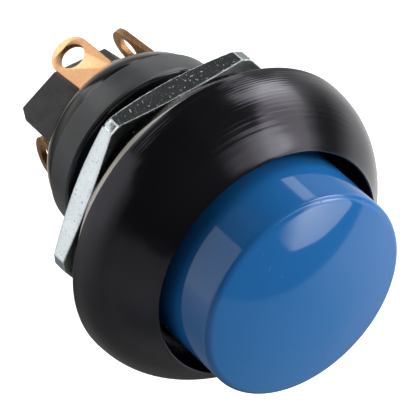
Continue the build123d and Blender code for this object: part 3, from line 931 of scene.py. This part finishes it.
# ================================================================ floor, world and lights
FLOOR_Z = cad_lo.z - 0.030
fm = bpy.data.materials.new("floor")
fm.use_nodes = True
fb = fm.node_tree.nodes["Principled BSDF"]
fb.inputs["Base Color"].default_value = (0.93, 0.93, 0.93, 1)
fb.inputs["Roughness"].default_value = 0.9
fb.inputs["Specular IOR Level"].default_value = 0.0
fb.inputs["Emission Color"].default_value = (1, 1, 1, 1)
fb.inputs["Emission Strength"].default_value = 0.62
fme = bpy.data.meshes.new("floor")
S = 6.0
fme.from_pydata([(-S, -S, FLOOR_Z), (S, -S, FLOOR_Z), (S, S, FLOOR_Z), (-S, S, FLOOR_Z)], [], [(0, 1, 2, 3)])
fme.materials.append(fm)
floor = link(bpy.data.objects.new("floor", fme))
floor.visible_glossy = False
floor.visible_shadow = False
floor.visible_diffuse = False
floor.visible_transmission = False

world = bpy.data.worlds.new("studio")
scene.world = world
world.use_nodes = True
wt = world.node_tree
wt.nodes.clear()


class W:
    """Small graph builder for the studio's brightness by direction."""
    out = wt.nodes.new("ShaderNodeOutputWorld")
    tc = wt.nodes.new("ShaderNodeTexCoord")
    d = tc.outputs["Generated"]

    @staticmethod
    def put(s, v):
        if isinstance(v, bpy.types.NodeSocket):
            wt.links.new(v, s)
        else:
            s.default_value = v

    @classmethod
    def dot(cls, v):
        n = wt.nodes.new("ShaderNodeVectorMath")
        n.operation = "DOT_PRODUCT"
        cls.put(n.inputs[0], cls.d)
        L = math.sqrt(sum(c * c for c in v))
        n.inputs[1].default_value = [c / L for c in v]
        return n.outputs["Value"]

    @classmethod
    def m(cls, op, a, b=0.0):
        n = wt.nodes.new("ShaderNodeMath")
        n.operation = op
        cls.put(n.inputs[0], a)
        cls.put(n.inputs[1], b)
        return n.outputs[0]

    @classmethod
    def step(cls, v, a, b, lo=0.0, hi=1.0, kind="SMOOTHSTEP"):
        n = wt.nodes.new("ShaderNodeMapRange")
        n.interpolation_type = kind
        for i, x in enumerate((v, a, b, lo, hi)):
            cls.put(n.inputs[i], x)
        return n.outputs[0]

    @classmethod
    def mix(cls, fac, a, b):
        n = wt.nodes.new("ShaderNodeMix")
        n.data_type = "RGBA"
        cls.put(n.inputs[0], fac)
        cls.put(n.inputs[6], a)
        cls.put(n.inputs[7], b)
        return n.outputs[2]

    @classmethod
    def grey(cls, v):
        n = wt.nodes.new("ShaderNodeCombineColor")
        for i in range(3):
            cls.put(n.inputs[i], v)
        return n.outputs[0]

    @classmethod
    def around(cls, turn, stops):
        """Brightness round the part, from (azimuth in degrees, level[, tint]) stops."""
        n = wt.nodes.new("ShaderNodeValToRGB")
        cls.put(n.inputs[0], turn)
        el = n.color_ramp.elements
        while len(el) > 1:
            el.remove(el[0])
        for i, st in enumerate(stops):
            az, level = st[0], st[1]
            tint = st[2] if len(st) > 2 else (1.0, 1.0, 1.0)
            if i == 0:
                el[0].position = 0.0
            e = el[0] if i == 0 else el.new((az - 60) / 360)
            e.color = (level * tint[0], level * tint[1], level * tint[2], 1)
        return n.outputs[0]


def dirv(az, el):
    a, e = math.radians(az), math.radians(el)
    return (math.cos(e) * math.cos(a), math.cos(e) * math.sin(a), math.sin(e))


WARM = (1.0, 0.90, 0.78)
TEAL = (0.74, 0.97, 1.0)
ROOM = {                                    # elevation: stops, azimuth from 60 to 420
    -62: [(60, 1.6), (86, 1.4), (96, 0.9), (140, 0.9), (170, 0.45), (205, 0.12), (240, 0.4, WARM), (262, 0.9, WARM), (285, 0.8),
          (320, 0.8), (335, 0.4), (362, 0.4), (375, 0.3), (400, 0.1), (414, 0.3)],
    -48: [(60, 2.0), (70, 3.3), (90, 3.3), (96, 1.0), (140, 0.95), (170, 0.5), (205, 0.07), (235, 0.3, WARM), (254, 0.9, WARM), (268, 1.1, WARM),
          (277, 0.5, WARM), (290, 0.8), (320, 0.8), (335, 0.4), (348, 0.5), (362, 0.5), (363, 1.9), (375.5, 1.9), (377, 0.2), (384, 0.05), (405, 0.05)],
    -42: [(60, 0.10), (68, 0.5), (90, 0.5), (96.2, 0.3), (97.4, 0.95), (140, 1.0), (158, 1.0), (168, 0.62), (180, 0.4), (200, 0.20), (240, 0.18), (262, 0.3), (285, 0.7),
          (310, 0.4), (324, 0.28), (340, 0.4), (348, 0.5), (362, 0.5), (363, 2.0), (375.5, 2.0), (377, 0.2), (382, 0.05), (400, 0.04)],
    -38: [(60, 0.05), (96.2, 0.05), (97.4, 0.95), (140, 1.0), (158, 1.0), (168, 0.62), (180, 0.4), (200, 0.20), (240, 0.16), (262, 0.06), (285, 0.7),
          (310, 0.4), (324, 0.28), (340, 0.4), (348, 0.5), (362, 0.5), (363, 2.0), (375.5, 2.0), (377, 0.2), (382, 0.05), (400, 0.04)],
    -35: [(60, 0.04), (96.2, 0.04), (97.6, 0.95), (140, 0.95), (150, 0.85), (170, 0.6), (190, 0.38), (210, 0.24), (250, 0.18), (265, 0.10), (282, 0.75),
          (322, 0.90), (332, 0.5), (348, 0.3), (358, 0.3), (378, 0.3), (384, 0.04)],
    -28: [(60, 0.04), (96.5, 0.04), (98, 1.0), (140, 0.98), (150, 0.8), (170, 0.55), (190, 0.3), (210, 0.2), (240, 0.16), (262, 0.05), (280, 1.0), (305, 0.9),
          (325, 0.6), (345, 0.6), (350, 0.45), (365, 0.5), (378, 0.3), (384, 0.05)],
    -23: [(60, 0.04), (94, 0.05), (97, 1.0), (140, 0.98), (150, 0.78), (170, 0.5), (190, 0.27), (210, 0.18), (240, 0.16), (262, 0.05), (280, 1.05), (305, 0.85),
          (325, 0.5), (345, 0.6), (350, 1.2), (355, 3.2), (365, 4.2), (372, 2.6), (376, 0.6), (380, 0.08)],
    -15: [(60, 0.04), (104, 0.05), (107, 0.85), (140, 0.80), (150, 0.6), (170, 0.43), (190, 0.25), (210, 0.18), (240, 0.16), (262, 0.06), (280, 0.95), (310, 0.95),
          (322, 0.5), (332, 0.3), (340, 0.6), (347, 1.2), (351, 3.9), (357, 7.0), (368, 7.4), (373, 5.2), (380, 2.6), (388, 2.2), (392, 0.15), (400, 0.05)],
    -8: [(60, 0.04), (108, 0.05), (112, 0.5), (140, 0.5), (160, 0.42), (180, 0.3), (200, 0.22), (230, 0.18), (265, 0.06), (285, 0.9), (312, 0.9),
         (322, 0.45), (330, 0.12), (340, 0.4), (347, 0.9), (351, 3.2), (357, 4.6), (372, 6.4), (377, 5.2), (382, 3.6), (388, 2.4), (391, 0.2), (400, 0.04)],
    -2: [(60, 0.04), (110, 0.05), (116, 0.3), (160, 0.33), (180, 0.3), (200, 0.24), (235, 0.20), (270, 0.1), (288, 0.85), (312, 0.85), (322, 0.35),
         (330, 0.1), (342, 0.3), (346, 0.9), (350, 2.8), (360, 4.2), (374, 4.6), (380, 2.2), (386, 0.6), (389, 0.08)],
    5: [(60, 0.05), (130, 0.05), (145, 0.3), (170, 0.38), (200, 0.28), (230, 0.32), (265, 0.4), (290, 0.85), (312, 0.8), (322, 0.30), (328, 0.06),
        (338, 0.06), (344, 0.6), (350, 2.2), (360, 3.2), (373, 3.0), (378, 0.8), (381, 0.08)],
    15: [(60, 0.05), (132, 0.05), (145, 0.36), (170, 0.42), (200, 0.24), (230, 0.38, TEAL), (265, 0.52, TEAL), (285, 0.95), (300, 1.3), (314, 0.8), (326, 0.08),
         (338, 0.08), (345, 0.7), (352, 2.0), (360, 2.5), (373, 2.3), (377, 0.6), (380, 0.08)],
    25: [(60, 0.06), (136, 0.05), (144, 0.34), (180, 0.45), (205, 0.34, TEAL), (235, 0.44, TEAL), (270, 0.62, TEAL), (284, 1.0), (296, 1.5), (335, 1.3), (342, 1.8), (374, 2.3), (379, 0.5), (383, 0.08)],
    34: [(60, 0.06), (136, 0.05), (144, 0.34), (180, 0.48), (205, 0.38, TEAL), (235, 0.47, TEAL), (270, 0.64, TEAL), (285, 1.05), (300, 1.3), (335, 1.3), (370, 1.3), (376, 3.0),
         (388, 2.8), (394, 1.2), (402, 0.2), (408, 0.06)],
    46: [(60, 0.06), (146, 0.05), (150, 0.34), (200, 0.42, TEAL), (240, 0.49, TEAL), (270, 0.66, TEAL), (290, 1.1), (376, 0.8), (385, 1.8), (402, 1.8), (412, 0.6), (418, 0.08)],
    54: [(60, 0.08), (160, 0.05), (170, 0.42), (200, 0.45, TEAL), (240, 0.49, TEAL), (270, 0.55, TEAL), (280, 0.6), (380, 0.15), (402, 0.12)],
    72: [(60, 0.10), (170, 0.40), (280, 0.40), (340, 0.12), (419, 0.10)],
}
# where the pale sheet ends against the dark of the room, and where the soft box begins
SHEET_END = [(60, 90), (130, 90), (138, 30), (150, 42), (160, 49), (170, 55), (180, 60), (190, 63.5), (200, 66), (210, 68), (220, 68), (230, 66),
             (240, 63), (250, 59), (260, 54.5), (270, 50), (280, 45.8), (290, 42), (300, 38.5), (335, 33.5), (345, 31), (350, 90)]
BOX_END = [(60, 64), (278, 64), (281.5, 60), (290, 51.5), (300, 43.8), (310, 42.5), (320, 39.5), (330, 34), (340, 26.5), (346, 20), (351, 14), (356, 10), (380, 9)]
sep = wt.nodes.new("ShaderNodeSeparateXYZ")
W.put(sep.inputs[0], W.d)
turn = W.m("FRACT", W.m("SUBTRACT", W.m("DIVIDE", W.m("ARCTAN2", sep.outputs[1], sep.outputs[0]), 2 * math.pi), 60 / 360))
elev = W.m("MULTIPLY", W.m("ARCSINE", sep.outputs[2]), 180 / math.pi)
room, last = None, None
for el_, stops in ROOM.items():
    ring = W.around(turn, stops)
    room = ring if room is None else W.mix(W.step(elev, last, el_, kind="LINEAR"), room, ring)
    last = el_


def beyond(line, soft):
    """0 below a line given as (azimuth, elevation) points, 1 above it."""
    edge = W.m("MULTIPLY", W.around(turn, [(az, e / 90) for az, e in line]), 90.0)
    return W.step(W.m("SUBTRACT", elev, edge), -soft, soft)


def sector(az0, az1, soft):
    a0, a1, w = (az0 - 60) / 360, (az1 - 60) / 360, soft / 360
    return W.m("MULTIPLY", W.step(turn, a0 - w, a0 + w), W.step(turn, a1 - w, a1 + w, 1.0, 0.0))


room = W.mix(W.m("MULTIPLY", beyond(SHEET_END, 1.3), sector(136, 352, 1.0)), room, (0.085, 0.085, 0.085, 1.0))
# the large soft box above and to the right
left = W.dot((0.99, 0.04, -0.09))
box = W.m("MULTIPLY", W.step(left, -0.012, 0.02), beyond(BOX_END, 0.5))
box = W.m("MULTIPLY", box, W.step(W.dot((0.608, -0.702, -0.368)), -0.03, 0.13))
box = W.m("MULTIPLY", box, sector(277, 400, 1.0))
low_right = W.m("MULTIPLY", W.step(elev, 25, 31, 1.0, 0.0), sector(380, 419, 1.5))
box = W.m("MULTIPLY", box, W.m("SUBTRACT", 1.0, low_right))
hot1 = W.m("MULTIPLY", W.step(W.dot(dirv(353, 35)), math.cos(math.radians(15)), 1.0, 0.0, 5.8), W.step(elev, 25, 32))
hot2 = W.step(W.dot(dirv(13, 33)), math.cos(math.radians(13)), 1.0, 0.0, 2.0)
upper = W.m("MULTIPLY", W.step(elev, 45, 62, 0.0, 3.2), W.step(turn, (318 - 60) / 360, (345 - 60) / 360, 1.0, 0.25))
bright = W.m("ADD", W.m("ADD", hot1, hot2), W.m("ADD", W.step(elev, 22, 31, 2.1, 2.8), upper))
bright = W.m("MULTIPLY", bright, W.step(left, -0.02, 0.30, 0.50, 1.0))
room = W.mix(box, room, W.grey(bright))
camray = wt.nodes.new("ShaderNodeLightPath").outputs["Is Camera Ray"]
final = W.mix(camray, room, (1.0, 1.0, 1.0, 1.0))
bg = wt.nodes.new("ShaderNodeBackground")
W.put(bg.inputs["Color"], final)
bg.inputs["Strength"].default_value = 1.0
wt.links.new(bg.outputs[0], W.out.inputs[0])
